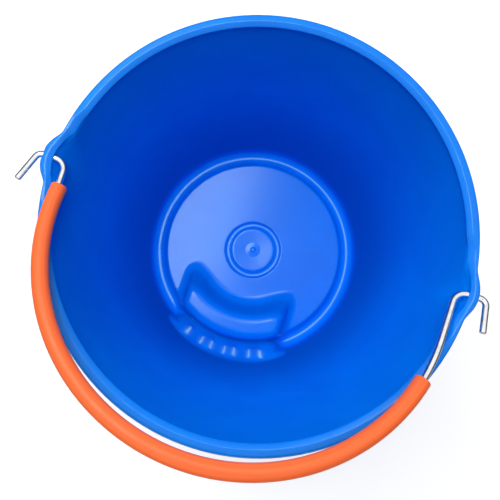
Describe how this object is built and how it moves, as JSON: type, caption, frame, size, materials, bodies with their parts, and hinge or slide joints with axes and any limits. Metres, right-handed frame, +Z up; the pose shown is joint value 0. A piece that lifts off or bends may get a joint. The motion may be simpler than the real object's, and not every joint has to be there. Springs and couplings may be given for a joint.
{
  "type": "rubber bucket",
  "caption": "Round tapered rubber bucket with a rolled rim, a moulded hand-hold in the base and a swinging steel wire bail that carries a sliding sleeve grip.",
  "frame": {"origin": "centre of the foot ring's underside, on the surface that the bucket stands on", "axes": "+Z up out of the mouth, +X along the bail's hinge line, -Y towards the front, where the hand-hold is and where the bail lies"},
  "size_m": [0.3516, 0.3258, 0.3209],
  "materials": {
    "bucket_rubber": "moulded satin",
    "bail_steel": "bright galvanised wire",
    "grip_sleeve": "extruded satin"
  },
  "bodies": {
    "pail": {"bucket": "bucket_rubber"},
    "handle": {"bail": "bail_steel"},
    "sleeve": {"grip": "grip_sleeve"}
  },
  "joints": [
    {"name": "bail_swing", "type": "hinge", "parent": "pail", "child": "handle", "pos_m": [0, 0, 0.263], "axis": [-1, 0, 0], "range_deg": [0, 144]},
    {"name": "grip_slide", "type": "hinge", "parent": "handle", "child": "sleeve", "pos_m": [0, -0.02187, 0.27011], "axis": [0, 0.309, 0.9511], "range_deg": [0, 20.1]}
  ]
}
